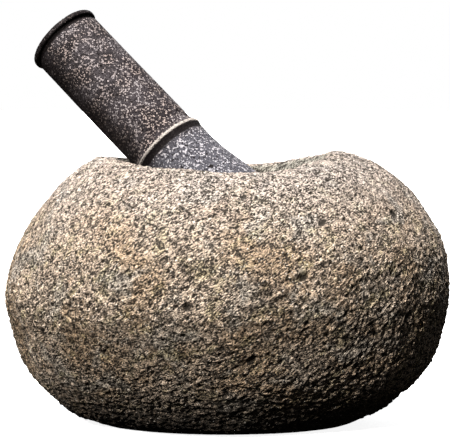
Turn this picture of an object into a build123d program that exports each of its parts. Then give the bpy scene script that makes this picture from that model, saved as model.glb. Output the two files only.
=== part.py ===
"""Molcajete: a legless stone mortar worked from one rounded boulder, with its loose stone pestle.

Millimetres. +Z is up, +X runs along the boulder's long side and +Y goes to its back.
The origin is on the surface that the mortar stands on, under the middle of the boulder.
"""

import os
from math import asin, cos, degrees, radians, sin

from build123d import *

# Boulder: level slices are ellipses, widest at its middle height; its top leans to the right and forward
boulder_length = 255
boulder_depth = 226
middle_height = 83
height_above_middle = 96
height_below_middle = 90
fullness_above_middle = 1.82
length_fullness_below_middle = 2.74
depth_fullness_below_middle = 2
lean_right = 3.8
lean_forward = 4.5
lean_start_height = 61
lean_end_height = 122
slice_heights = (0, 4, 10, 20, 36, 58, 83, 104, 126, 144, 156, 165)

# Saddle: the shallow valley across the top, from front to back, steeper on its right side
saddle_x = 24
saddle_height = 149.2
saddle_left_radius = 350
saddle_left_angle = 30
saddle_right_radius = 64
saddle_right_angle = 80
saddle_back_slope = 0.4
shoulder_round = 38

# Bowl: a round hollow with an elliptical floor that flares out to its mouth
bowl_x = -4
bowl_radius = 58
bowl_floor_height = 84
bowl_wall_height = 138
bowl_flare = 8
bowl_flare_height = 230
rim_round = 10

# Pestle: heights run up its axis, from the head's end to the lip's end
head_radius = 28.5
head_dome_height = 20
head_widest_height = 38
neck_radius = 23.4
neck_height = 80
ring_start_height = 87
ring_radius = 24.3
ring_height = 90.5
grip_start_height = 97
grip_radius = 22
groove_radius = 20.8
groove_width = 2.4
lip_radius = 23.2
lip_width = 3.4
lip_edge_round = 1.2
lip_end_height = 188
crown_height = 2.5

# Where the pestle rests: leaning out over the left and the back of the rim
pestle_end = Vector(24.9, -9, 97.69)
pestle_elevation = 41.83
pestle_azimuth = 151.8


def slice_share(height, fullness_below_middle):
    """How wide the boulder is at a height, as a share of its widest. Its outline is a superellipse."""
    if height > middle_height:
        share, fullness = (height - middle_height) / height_above_middle, fullness_above_middle
    else:
        share, fullness = (middle_height - height) / height_below_middle, fullness_below_middle
    return (1 - share**fullness) ** (1 / fullness)


def lean_share(height):
    """How much of the boulder's lean is reached at a height. It eases in and out."""
    share = (height - lean_start_height) / (lean_end_height - lean_start_height)
    share = min(1, max(0, share))
    return share**2 * (3 - 2 * share)


with BuildPart() as mortar:
    # The boulder
    for height in slice_heights:
        lean = lean_share(height) - lean_share(middle_height)
        with BuildSketch(Plane(origin=(lean_right * lean, -lean_forward * lean, height))):
            Ellipse(
                boulder_length / 2 * slice_share(height, length_fullness_below_middle),
                boulder_depth / 2 * slice_share(height, depth_fullness_below_middle),
            )
    loft()

    # The saddle, with the shoulders rounded over
    slope = radians(saddle_back_slope)
    saddle_plane = Plane(
        origin=(saddle_x, 0, saddle_height),
        x_dir=(1, 0, 0),
        z_dir=(0, -cos(slope), sin(slope)),
    )
    with BuildSketch(saddle_plane):
        with BuildLine():
            left_rise = CenterArc((0, saddle_left_radius), saddle_left_radius, 270, -saddle_left_angle)
            right_rise = CenterArc((0, saddle_right_radius), saddle_right_radius, 270, saddle_right_angle)
            Polyline(
                left_rise @ 1,
                ((left_rise @ 1).X, saddle_left_radius),
                ((right_rise @ 1).X, saddle_left_radius),
                right_rise @ 1,
            )
        make_face()
    extrude(amount=boulder_depth, both=True, mode=Mode.SUBTRACT)
    saddle_edges = mortar.faces().filter_by(GeomType.CYLINDER).edges().filter_by(GeomType.BSPLINE)
    fillet(saddle_edges, shoulder_round)

    # The bowl, with its rim rounded over
    with BuildSketch(Plane.XZ):
        with BuildLine():
            floor = EllipticalCenterArc(
                (bowl_x, bowl_wall_height),
                bowl_radius,
                bowl_wall_height - bowl_floor_height,
                270,
                arc_size=90,
            )
            Polyline(
                floor @ 1,
                (bowl_x + bowl_radius + bowl_flare, bowl_flare_height),
                (bowl_x, bowl_flare_height),
                floor @ 0,
            )
        make_face()
    revolve(axis=Axis((bowl_x, 0, 0), (0, 0, 1)), mode=Mode.SUBTRACT)
    rim_edges = mortar.faces().filter_by(GeomType.CONE).edges().filter_by(GeomType.BSPLINE)
    fillet(rim_edges, rim_round)
mortar.part.label = "mortar"

# Pestle: round about its own axis
pestle_direction = Vector(1, 0, 0).rotate(Axis.Y, -pestle_elevation).rotate(Axis.Z, pestle_azimuth)
pestle_plane = Plane(origin=pestle_end, z_dir=pestle_direction)
profile_plane = Plane(origin=pestle_end, x_dir=pestle_plane.x_dir, z_dir=-pestle_plane.y_dir)
lip_start_height = lip_end_height - lip_width
groove_start_height = lip_start_height - groove_width
crown_radius = (lip_radius**2 + crown_height**2) / (2 * crown_height)
crown_angle = degrees(asin(lip_radius / crown_radius))

with BuildPart() as pestle:
    with BuildSketch(profile_plane) as profile:
        with BuildLine():
            dome = EllipticalCenterArc((0, head_dome_height), head_radius, head_dome_height, 270, arc_size=90)
            head = Spline(
                dome @ 1,
                (head_radius, head_widest_height),
                (neck_radius, neck_height),
                tangents=[(0, 1), (0, 1)],
            )
            neck = Line(head @ 1, (neck_radius, ring_start_height))
            ring = Spline(
                neck @ 1,
                (ring_radius, ring_height),
                (grip_radius, grip_start_height),
                tangents=[(0, 1), (0, 1)],
            )
            lip = Polyline(
                ring @ 1,
                (grip_radius, groove_start_height),
                (groove_radius, groove_start_height + groove_width / 2),
                (groove_radius, lip_start_height),
                (lip_radius, lip_start_height),
                (lip_radius, lip_end_height),
            )
            crown = CenterArc((0, lip_end_height + crown_height - crown_radius), crown_radius, 90, -crown_angle)
            Line(crown @ 0, dome @ 0)
        make_face()
        lip_corners = profile.vertices().filter_by_position(Axis.Y, lip_start_height, lip_end_height)
        fillet(lip_corners.group_by(Axis.X)[-1], lip_edge_round)
    revolve(axis=Axis(pestle_end, pestle_direction))
pestle.part.label = "pestle"

os.makedirs("parts", exist_ok=True)
for piece in (mortar, pestle):
    export_step(piece.part, f"parts/{piece.part.label}.step")
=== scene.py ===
"""Looks of the molcajete: a boulder of rough pecked stone, and a dark speckled pestle leaning in it.

Metres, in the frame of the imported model: +Z up, +X to the right of the front view, +Y away from it.
"""

from itertools import product
from math import cos, radians, sin

import bpy
import numpy as np
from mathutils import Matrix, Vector
from mathutils.bvhtree import BVHTree


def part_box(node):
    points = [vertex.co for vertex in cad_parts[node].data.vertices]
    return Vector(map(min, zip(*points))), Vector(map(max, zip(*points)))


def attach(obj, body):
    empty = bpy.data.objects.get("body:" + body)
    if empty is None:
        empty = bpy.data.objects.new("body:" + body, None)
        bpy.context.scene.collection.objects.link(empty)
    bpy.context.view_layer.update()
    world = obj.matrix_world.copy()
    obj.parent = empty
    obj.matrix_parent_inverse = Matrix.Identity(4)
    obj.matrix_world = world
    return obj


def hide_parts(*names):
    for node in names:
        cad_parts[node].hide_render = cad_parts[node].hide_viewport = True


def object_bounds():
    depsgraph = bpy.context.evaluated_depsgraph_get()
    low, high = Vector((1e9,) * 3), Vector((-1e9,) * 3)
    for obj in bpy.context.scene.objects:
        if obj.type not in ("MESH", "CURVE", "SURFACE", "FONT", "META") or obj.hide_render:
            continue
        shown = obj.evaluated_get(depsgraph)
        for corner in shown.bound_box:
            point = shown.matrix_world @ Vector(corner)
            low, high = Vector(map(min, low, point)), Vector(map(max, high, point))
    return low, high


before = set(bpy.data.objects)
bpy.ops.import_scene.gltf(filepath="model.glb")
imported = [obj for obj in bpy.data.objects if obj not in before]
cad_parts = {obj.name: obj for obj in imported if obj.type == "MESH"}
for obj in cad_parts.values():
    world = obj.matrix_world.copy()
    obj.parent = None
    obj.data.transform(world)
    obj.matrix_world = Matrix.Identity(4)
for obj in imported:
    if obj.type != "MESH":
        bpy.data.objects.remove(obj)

cad_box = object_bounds()
MM = 0.001

# Camera: a long lens from the front, a little above the rim's level
CAMERA_DISTANCE = 1.3
CAMERA_ELEVATION = 4.5
CAMERA_AIM = Vector((-1.2, 0, -2.3)) * MM
VIEW_WIDTH = 260 * MM
SENSOR_WIDTH = 36

# The stone's grain runs up to the right in the front view
GRAIN_ANGLE = 40
GRAIN_STRETCH = 1.7

# A point in the bowl from which its whole wall and floor are seen
BOWL_MIDDLE = np.array((0, 0, 120)) * MM

# The middle of the right shoulder, from front to back
SHOULDER_X = 78 * MM

# Heights along the pestle from the end of its head
RING_HEIGHT = 90.5 * MM
GROOVE_HEIGHT = 183.4 * MM

# Sizes of the meshes' quads
MORTAR_QUAD = 0.65 * MM
PESTLE_QUAD = 0.5 * MM

# Reach of the shallower carving round the pestle
PESTLE_REACH = 12 * MM

# Half the floor's side
FLOOR_REACH = 6


# Noise for the shapes

def random_share(cells, seed):
    """A repeatable random number from 0 to 1 for each whole-numbered cell."""
    mixed = (cells * np.array([73856093, 19349663, 83492791])).sum(axis=1) + seed * 2654435761
    mixed = (mixed ^ (mixed >> 13)) * 1274126177 & 0xFFFFFFFF
    mixed = (mixed ^ (mixed >> 16)) * 2246822519 & 0xFFFFFFFF
    return (mixed ^ (mixed >> 15)) / 0xFFFFFFFF


def smooth_noise(points, size, seed):
    """Soft noise from 0 to 1, with lumps about one size across."""
    cells = np.floor(points / size).astype(np.int64)
    part = points / size - cells
    part = part * part * (3 - 2 * part)
    total = np.zeros(len(points))
    for corner in product((0, 1), repeat=3):
        weights = np.where(corner, part, 1 - part).prod(axis=1)
        total += weights * random_share(cells + corner, seed)
    return total


def layered_noise(points, size, seed, layers=3):
    """Soft noise from 0 to 1 with finer and weaker layers on it."""
    strengths = [0.5**layer for layer in range(layers)]
    total = sum(
        strength * smooth_noise(points, size * strength, seed + layer)
        for layer, strength in enumerate(strengths)
    )
    return total / sum(strengths)


def scattered_spots(points, spacing, radius, share, seed):
    """1 in the middle of round spots and 0 outside them: one in each cell, in this share of the cells."""
    cells = np.floor(points / spacing).astype(np.int64)
    deepest = np.zeros(len(points))
    for offset in product((-1, 0, 1), repeat=3):
        near = cells + offset
        middles = np.stack([random_share(near, seed + axis) for axis in range(3)], axis=1)
        sizes = radius * (0.5 + 0.8 * random_share(near, seed + 3))
        distances = np.linalg.norm(points - (near + middles) * spacing, axis=1)
        spots = np.clip(1 - (distances / sizes) ** 2, 0, 1)
        deepest = np.maximum(deepest, spots * (random_share(near, seed + 4) < share))
    return deepest


def fade(values, start, end):
    """0 at the start, 1 at the end and a smooth step between them."""
    part = np.clip((values - start) / (end - start), 0, 1)
    return part * part * (3 - 2 * part)


def band(values, middle, inner, outer):
    """1 up to the inner distance from the middle, and 0 from the outer distance on."""
    return fade(abs(values - middle), outer, inner)


# Meshes

def fine_copy(node, name, quad):
    """The shape of a CAD node as a new piece made of even quads."""
    piece = bpy.data.objects.new(name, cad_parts[node].data.copy())
    bpy.context.scene.collection.objects.link(piece)
    remesh = piece.modifiers.new("even_quads", "REMESH")
    remesh.mode = "VOXEL"
    remesh.voxel_size = quad
    smooth = piece.modifiers.new("soften", "SMOOTH")
    smooth.factor = 0.5
    smooth.iterations = 2
    mesh = bpy.data.meshes.new_from_object(piece.evaluated_get(bpy.context.evaluated_depsgraph_get()))
    piece.modifiers.clear()
    piece.data = mesh
    return piece


def points_and_normals(piece):
    count = len(piece.data.vertices)
    points = np.empty(count * 3)
    piece.data.vertices.foreach_get("co", points)
    normals = np.empty(count * 3)
    piece.data.vertex_normals.foreach_get("vector", normals)
    return points.reshape(-1, 3), normals.reshape(-1, 3)


def carve(piece, points, normals, depths):
    """Moves the surface in by these depths, or out where they are negative, but never out of the CAD box."""
    low, high = (np.array(corner) for corner in cad_box)
    room = np.minimum(points - low, high - points).min(axis=1)
    moved = points - normals * np.maximum(depths, -room)[:, None]
    piece.data.vertices.foreach_set("co", moved.ravel())
    piece.data.shade_smooth()
    piece.data.update()


def keep_values(piece, name, values):
    attribute = piece.data.attributes.new(name, "FLOAT", "POINT")
    attribute.data.foreach_set("value", values.astype(np.float32))


def grain_space(points):
    """The points turned so that the grain lies along the first axis, and squeezed along it."""
    angle = radians(GRAIN_ANGLE)
    along = points[:, 0] * cos(angle) + points[:, 2] * sin(angle)
    across = points[:, 2] * cos(angle) - points[:, 0] * sin(angle)
    return np.stack([along / GRAIN_STRETCH, points[:, 1], across], axis=1)


def distances_to(node, points, limit):
    """How far each point is from a CAD node, up to a limit."""
    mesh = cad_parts[node].data
    tree = BVHTree.FromPolygons([v.co for v in mesh.vertices], [p.vertices for p in mesh.polygons])
    low, high = (np.array(corner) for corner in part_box(node))
    close = ((points > low - limit) & (points < high + limit)).all(axis=1)
    distances = np.full(len(points), limit)
    for index in np.flatnonzero(close):
        found = tree.find_nearest(points[index], limit)
        if found[3] is not None:
            distances[index] = found[3]
    return distances


def make_mortar():
    piece = fine_copy("mortar", "boulder_mortar", MORTAR_QUAD)
    points, normals = points_and_normals(piece)
    grain = grain_space(points)

    lumps = layered_noise(points, 62 * MM, seed=1, layers=2) - 0.5
    dents = layered_noise(points, 19 * MM, seed=11, layers=2) - 0.5
    furrows = smooth_noise(grain, 1.4 * MM, seed=21)
    pecks = smooth_noise(points, 2.3 * MM, seed=31)
    pits = scattered_spots(grain, 3.2 * MM, 1.0 * MM, share=0.6, seed=41)
    gouges = scattered_spots(grain, 15 * MM, 2.6 * MM, share=0.5, seed=51)
    rough = 0.95 * furrows + 0.8 * pecks + 0.9 * pits + 1.3 * gouges - 0.8

    # Drawn in a little above the base, and on the right shoulder from front to back
    x, z = points[:, 0], points[:, 2]
    undercut = 1.7 * fade(z, 5 * MM, 16 * MM) * fade(z, 78 * MM, 50 * MM)
    shoulder = 2.0 * fade(abs(x - SHOULDER_X), 20 * MM, 2 * MM) * fade(z, 130 * MM, 148 * MM)
    shape = 4 * lumps + 2.8 * dents + undercut + shoulder

    # Worn smoother in the bowl, and rougher on the lower half, which nobody handles
    in_bowl = fade(((BOWL_MIDDLE - points) * normals).sum(axis=1), 0, 15 * MM)
    roughness = 1 - 0.5 * in_bowl + 0.7 * fade(z, 120 * MM, 50 * MM)

    # Shallower where the pestle rests and on the flat rest face
    clear_of_pestle = 0.1 + 0.9 * fade(distances_to("pestle", points, PESTLE_REACH), 1 * MM, PESTLE_REACH)
    above_floor = 0.05 + 0.95 * fade(z, 0, 6 * MM)
    depths = MM * (shape + rough * roughness) * clear_of_pestle * above_floor
    carve(piece, points, normals, depths)
    keep_values(piece, "pitted", np.maximum(pits, gouges))
    keep_values(piece, "in_bowl", in_bowl)
    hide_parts("mortar")
    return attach(piece, "mortar")


def pestle_heights(points):
    """How far each point is along the pestle's axis, from the end of its head."""
    middle = points.mean(axis=0)
    axis = np.linalg.eigh(np.cov((points - middle).T))[1][:, -1]
    axis *= np.sign(axis[2])
    along = (points - middle) @ axis
    return along - along.min()


def make_pestle():
    piece = fine_copy("pestle", "basalt_pestle", PESTLE_QUAD)
    points, normals = points_and_normals(piece)
    heights = pestle_heights(points)
    lumps = layered_noise(points, 30 * MM, seed=61, layers=2)
    grit = smooth_noise(points, 0.9 * MM, seed=66)
    pores = scattered_spots(points, 2.6 * MM, 0.7 * MM, share=0.5, seed=71)
    nicks = scattered_spots(points, 9 * MM, 1.4 * MM, share=0.3, seed=81)
    carve(piece, points, normals, MM * (0.4 * lumps + 0.15 * grit + 0.35 * pores + 0.45 * nicks))

    # Painted shadow under the ring, painted shade in the groove and on the downward-facing side, and the
    # lip's own dark colour
    painted_shadow_under_ring = band(heights, RING_HEIGHT - 3.1 * MM, 1.3 * MM, 2.9 * MM)
    painted_shade_in_groove = band(heights, GROOVE_HEIGHT, 1.1 * MM, 2 * MM)
    on_lip = 0.55 * fade(heights, GROOVE_HEIGHT, GROOVE_HEIGHT + 1 * MM)
    painted_shade_underneath = 0.62 * fade(-normals[:, 2], -0.25, 0.6)
    keep_values(piece, "pitted", np.maximum(pores, nicks))
    # Pale band on the ring's crest: partly wear, partly a painted highlight
    keep_values(piece, "worn_and_highlit", band(heights, RING_HEIGHT, 0.5 * MM, 1.4 * MM))
    keep_values(piece, "dusty", fade(heights, RING_HEIGHT, RING_HEIGHT - 12 * MM))
    keep_values(piece, "dark_lip_and_painted_shade", np.max((painted_shadow_under_ring, painted_shade_in_groove, on_lip, painted_shade_underneath), axis=0))
    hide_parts("pestle")
    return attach(piece, "pestle")


# Materials

# Colours of the boulder
WARM_GREY = (0.50, 0.392, 0.297, 1)
TAN = (0.43, 0.307, 0.20, 1)
COOL_GREY = (0.41, 0.38, 0.33, 1)
OCHRE = (0.38, 0.33, 0.15, 1)
RUST = (0.46, 0.24, 0.08, 1)
PALE_DUST = (0.61, 0.54, 0.50, 1)
# Painted shade for the stone near its base
PAINTED_BASE_SHADE = (0.05, 0.038, 0.028, 1)
DARKER_BOWL_GREY = (0.27, 0.26, 0.215, 1)
QUARTZ = (0.85, 0.79, 0.71, 1)
# Dirt and painted shade for pores, grain gaps and pits
PORE_DIRT_AND_PAINTED_SHADE = (0.03, 0.024, 0.018, 1)

# Colours of the pestle
DARK_BASALT = (0.025, 0.021, 0.022, 1)
BASALT = (0.055, 0.047, 0.050, 1)
BLUE_DUST = (0.088, 0.087, 0.102, 1)
BASALT_PORE = (0.010, 0.008, 0.008, 1)
PINK_CRYSTAL = (0.375, 0.30, 0.27, 1)
GREY_CRYSTAL = (0.35, 0.315, 0.315, 1)
DUSTY_CRYSTAL = (0.47, 0.45, 0.47, 1)
# Pale crest colour: partly wear, partly a painted highlight
WORN_AND_HIGHLIT_CREST = (0.62, 0.555, 0.50, 1)
# Near black for pits, the dark lip and painted shade
PIT_LIP_AND_PAINTED_SHADE_BLACK = (0.008, 0.006, 0.006, 1)


def add(tree, kind, inputs=None, **settings):
    """Adds a node. An input is a value or the socket that feeds it."""
    made = tree.nodes.new(kind)
    for name, value in settings.items():
        setattr(made, name, value)
    for key, value in (inputs or {}).items():
        if isinstance(value, bpy.types.NodeSocket):
            tree.links.new(value, made.inputs[key])
        else:
            made.inputs[key].default_value = value
    return made


def noise(tree, where, size, detail=3, roughness=0.55, distortion=0):
    """Noise about one size across, from 0 to 1."""
    inputs = {
        "Vector": where,
        "Scale": 1 / size,
        "Detail": detail,
        "Roughness": roughness,
        "Distortion": distortion,
    }
    return add(tree, "ShaderNodeTexNoise", inputs).outputs["Fac"]


def crystals(tree, where, size):
    """Cells about one size across: the distance from the cell's middle, and the cell's random number."""
    cells = add(tree, "ShaderNodeTexVoronoi", {"Vector": where, "Scale": 1 / size})
    number = add(tree, "ShaderNodeSeparateXYZ", {0: cells.outputs["Color"]}).outputs["X"]
    return cells.outputs["Distance"], number


def ramp(tree, value, start, end, low=0.0, high=1.0):
    """The value's stretch from start to end, spread from low to high."""
    inputs = {"Value": value, 1: start, 2: end, 3: low, 4: high}
    return add(tree, "ShaderNodeMapRange", inputs, interpolation_type="SMOOTHSTEP").outputs["Result"]


def math_node(tree, operation, a, b):
    return add(tree, "ShaderNodeMath", {0: a, 1: b}, operation=operation).outputs[0]


def mix(tree, share, a, b, blend="MIX"):
    """Two colours mixed. The share belongs to the second."""
    made = add(tree, "ShaderNodeMix", {0: share, 6: a, 7: b}, data_type="RGBA", blend_type=blend)
    return made.outputs[2]


def cover(tree, colour, over, share, strength):
    """A colour with another over it, by a share that reaches this strength."""
    return mix(tree, math_node(tree, "MULTIPLY", share, strength), colour, over)


def attribute(tree, name):
    return add(tree, "ShaderNodeAttribute", attribute_name=name).outputs["Fac"]


def new_material(name):
    material = bpy.data.materials.new(name)
    material.use_nodes = True
    tree = material.node_tree
    return material, tree, tree.nodes["Principled BSDF"]


def grey(level):
    return (level, level, level, 1)


def finish_stone(tree, shader, colour, roughness, bump, sheen):
    tree.links.new(colour, shader.inputs["Base Color"])
    tree.links.new(roughness, shader.inputs["Roughness"])
    tree.links.new(bump.outputs[0], shader.inputs["Normal"])
    shader.inputs["Specular IOR Level"].default_value = sheen


def boulder_stone():
    material, tree, shader = new_material("boulder_stone")
    where = add(tree, "ShaderNodeTexCoord").outputs["Object"]
    turn = {"Vector": where, "Rotation": (0, radians(GRAIN_ANGLE), 0)}
    turned = add(tree, "ShaderNodeMapping", turn).outputs[0]
    grain = add(tree, "ShaderNodeMapping", {"Vector": turned, "Scale": (1 / GRAIN_STRETCH, 1, 1)}).outputs[0]
    pitted = attribute(tree, "pitted")

    # Broad tones: warm grey, tan, cooler grey and greenish ochre, with a few rusty stains
    tan_share = ramp(tree, noise(tree, where, 40 * MM, detail=4), 0.4, 0.62)
    cool_share = ramp(tree, noise(tree, where, 22 * MM, detail=3, distortion=0.6), 0.5, 0.66)
    ochre_share = ramp(tree, noise(tree, grain, 9 * MM, detail=4, roughness=0.65), 0.52, 0.66)
    stain_share = ramp(tree, noise(tree, grain, 13 * MM, detail=5, roughness=0.65), 0.64, 0.74)
    colour = mix(tree, tan_share, WARM_GREY, TAN)
    colour = cover(tree, colour, COOL_GREY, cool_share, 0.6)
    colour = cover(tree, colour, OCHRE, ochre_share, 0.4)
    colour = cover(tree, colour, RUST, stain_share, 0.45)

    # Paler with dust on the top, painted shade darkening towards the base, and darker and greyer in the bowl
    height = add(tree, "ShaderNodeSeparateXYZ", {0: where}).outputs["Z"]
    colour = cover(tree, colour, PALE_DUST, ramp(tree, height, 100 * MM, 155 * MM), 0.55)
    # Painted shade: the stone is darkened towards its base
    colour = cover(tree, colour, PAINTED_BASE_SHADE, ramp(tree, height, 39 * MM, 6 * MM), 0.95)
    # Darker and greyer inside the bowl
    colour = cover(tree, colour, DARKER_BOWL_GREY, attribute(tree, "in_bowl"), 0.8)

    # Light and dark grains, gathered in patches; on the lower half the dark grains get extra painted shade
    # and the pale ones extra painted highlight
    grit = noise(tree, grain, 0.85 * MM, detail=3, roughness=0.65)
    patches = ramp(tree, noise(tree, where, 3.6 * MM, detail=2), 0.3, 0.7, -0.075, 0.075)
    level = math_node(tree, "ADD", grit, patches)
    edges, tints = crystals(tree, grain, 0.85 * MM)
    low_share = ramp(tree, height, 98 * MM, 45 * MM)
    # Towards the bottom the grain contrast is raised with painted shade and painted highlight
    dark_grains_and_painted_shade = mix(tree, low_share, grey(0.3), grey(0.1))
    pale_grains_and_painted_highlight = mix(tree, low_share, grey(1.5), grey(2.3))
    shades = mix(tree, ramp(tree, level, 0.38, 0.62), dark_grains_and_painted_shade, pale_grains_and_painted_highlight)
    colour = mix(tree, 1.0, colour, shades, "MULTIPLY")
    colour = mix(tree, 1.0, colour, mix(tree, tints, grey(0.6), grey(1.4)), "MULTIPLY")
    sparkle = math_node(tree, "MULTIPLY", ramp(tree, tints, 0.86, 0.94), ramp(tree, edges, 0.45, 0.3))
    colour = cover(tree, colour, QUARTZ, sparkle, 0.75)

    # Pores, the gaps between the grains and the carved pits are painted dark: partly dirt, partly painted
    # shade in the hollows
    gaps = ramp(tree, math_node(tree, "SUBTRACT", edges, level), 0.04, 0.24)
    pores = math_node(tree, "MAXIMUM", ramp(tree, level, 0.44, 0.37), gaps)
    dirt_and_painted_shade = math_node(tree, "MAXIMUM", pores, ramp(tree, pitted, 0.15, 0.7))
    colour = cover(tree, colour, PORE_DIRT_AND_PAINTED_SHADE, dirt_and_painted_shade, 0.92)

    relief = math_node(tree, "SUBTRACT", level, math_node(tree, "MULTIPLY", edges, 0.6))
    depth = ramp(tree, low_share, 0, 1, 2.1 * MM, 3.4 * MM)
    bump = add(tree, "ShaderNodeBump", {"Height": relief, "Distance": depth, "Strength": 1})
    finish_stone(tree, shader, colour, ramp(tree, grit, 0.2, 0.8, 0.98, 0.78), bump, sheen=0.25)
    return material


def pestle_stone():
    material, tree, shader = new_material("pestle_stone")
    where = add(tree, "ShaderNodeTexCoord").outputs["Object"]
    tone = ramp(tree, noise(tree, where, 14 * MM, detail=3), 0.36, 0.66)
    colour = mix(tree, tone, DARK_BASALT, BASALT)

    # The head is paler and bluer than the grip, from the stone dust that it grinds up
    dusty = attribute(tree, "dusty")
    colour = cover(tree, colour, BLUE_DUST, dusty, 0.8)

    # Dark pores and pale crystals, packed close
    grit = noise(tree, where, 1.1 * MM, detail=2, roughness=0.6)
    colour = cover(tree, colour, BASALT_PORE, ramp(tree, grit, 0.46, 0.36), 0.85)
    crystal = mix(tree, tone, PINK_CRYSTAL, GREY_CRYSTAL)
    crystal = mix(tree, dusty, crystal, DUSTY_CRYSTAL)
    unevenness = math_node(tree, "MULTIPLY", math_node(tree, "SUBTRACT", 0.5, grit), 2.5)
    for size, share in ((1.1 * MM, 0.5), (1.7 * MM, 0.3)):
        edges, tints = crystals(tree, where, size)
        ragged = ramp(tree, math_node(tree, "ADD", edges, unevenness), 0.45, 0.28)
        seen = math_node(tree, "MULTIPLY", ramp(tree, tints, 1 - share, 1.15 - share), ragged)
        colour = mix(tree, seen, colour, crystal)

    # Pale along the ring's crest, partly wear and partly a painted highlight; painted shadow under the ring,
    # painted shade in the groove and on the downward-facing side, and a dark lip
    colour = cover(tree, colour, WORN_AND_HIGHLIT_CREST, attribute(tree, "worn_and_highlit"), ramp(tree, grit, 0.38, 0.58, 0.45, 0.9))
    # Painted shadow and painted shade, with the dark lip
    lip_and_painted_shade = ramp(tree, math_node(tree, "SUBTRACT", attribute(tree, "dark_lip_and_painted_shade"), unevenness), 0.15, 0.85)
    dirt_and_painted_shade = math_node(tree, "MAXIMUM", lip_and_painted_shade, ramp(tree, attribute(tree, "pitted"), 0.1, 0.6))
    colour = cover(tree, colour, PIT_LIP_AND_PAINTED_SHADE_BLACK, dirt_and_painted_shade, 0.98)

    bump = add(tree, "ShaderNodeBump", {"Height": grit, "Distance": 0.7 * MM, "Strength": 0.9})
    finish_stone(tree, shader, colour, ramp(tree, grit, 0.3, 0.7, 0.85, 0.5), bump, sheen=0.04)
    return material


# Stage

def make_floor():
    """A plain white floor. It throws no light back up, as if it were flagged off from the object."""
    mesh = bpy.data.meshes.new("floor")
    corners = [(x * FLOOR_REACH, y * FLOOR_REACH, 0) for x, y in ((-1, -1), (1, -1), (1, 1), (-1, 1))]
    mesh.from_pydata(corners, [], [(0, 1, 2, 3)])
    floor = bpy.data.objects.new("floor", mesh)
    bpy.context.scene.collection.objects.link(floor)
    material, tree, shader = new_material("white_paper")
    fibres = noise(tree, add(tree, "ShaderNodeTexCoord").outputs["Object"], 3 * MM)
    tree.links.new(mix(tree, fibres, grey(0.80), grey(0.84)), shader.inputs["Base Color"])
    shader.inputs["Roughness"].default_value = 0.95
    shader.inputs["Emission Color"].default_value = grey(1)
    shader.inputs["Emission Strength"].default_value = 0.9
    mesh.materials.append(material)
    floor.visible_diffuse = False
    floor.visible_glossy = False


def make_sun(name, azimuth, elevation, softness, strength, colour):
    """Even light from far off. Azimuth 0 is the camera's side, and it grows to the right."""
    data = bpy.data.lights.new(name, "SUN")
    data.angle = radians(softness)
    data.energy = strength
    data.color = colour
    light = bpy.data.objects.new(name, data)
    turn, rise = radians(azimuth), radians(elevation)
    towards = Vector((sin(turn) * cos(rise), -cos(turn) * cos(rise), sin(rise)))
    light.rotation_mode = "QUATERNION"
    light.rotation_quaternion = towards.to_track_quat("Z", "Y")
    bpy.context.scene.collection.objects.link(light)


def make_world():
    """White behind the object, and a soft dim sky as light that fades to dark below the horizon."""
    world = bpy.data.worlds.new("studio")
    bpy.context.scene.world = world
    world.use_nodes = True
    tree = world.node_tree
    tree.nodes.clear()
    direction = add(tree, "ShaderNodeTexCoord").outputs["Generated"]
    height = add(tree, "ShaderNodeSeparateXYZ", {0: direction}).outputs["Z"]
    dim = ramp(tree, height, -0.15, 0.9, 0.01, 0.12)
    sky = add(tree, "ShaderNodeBackground", {"Color": grey(1), "Strength": dim})
    white = add(tree, "ShaderNodeBackground", {"Color": grey(1), "Strength": 1.0})
    seen = add(tree, "ShaderNodeLightPath").outputs["Is Camera Ray"]
    both = add(tree, "ShaderNodeMixShader", {0: seen, 1: sky.outputs[0], 2: white.outputs[0]})
    add(tree, "ShaderNodeOutputWorld", {"Surface": both.outputs[0]})


def make_camera(middle):
    data = bpy.data.cameras.new("camera")
    data.sensor_width = SENSOR_WIDTH
    data.lens = SENSOR_WIDTH * CAMERA_DISTANCE / VIEW_WIDTH
    data.clip_end = 20
    camera = bpy.data.objects.new("camera", data)
    bpy.context.scene.collection.objects.link(camera)
    bpy.context.scene.camera = camera
    angle = radians(CAMERA_ELEVATION)
    back = Vector((0, -cos(angle), sin(angle)))
    camera.location = middle + CAMERA_AIM + back * CAMERA_DISTANCE
    camera.rotation_mode = "QUATERNION"
    camera.rotation_quaternion = (-back).to_track_quat("-Z", "Y")


middle = (cad_box[0] + cad_box[1]) / 2
make_camera(middle)
make_floor()
make_world()
make_sun("key", azimuth=-27, elevation=28, softness=9, strength=3.0, colour=(1, 0.98, 0.95))
make_sun("top", azimuth=-30, elevation=75, softness=20, strength=7.1, colour=(1, 0.98, 0.97))
make_sun("back", azimuth=165, elevation=22, softness=60, strength=1.0, colour=(0.96, 0.98, 1))

mortar = make_mortar()
mortar.data.materials.clear()
mortar.data.materials.append(boulder_stone())
pestle = make_pestle()
pestle.data.materials.clear()
pestle.data.materials.append(pestle_stone())

bpy.context.scene.view_settings.view_transform = "Standard"
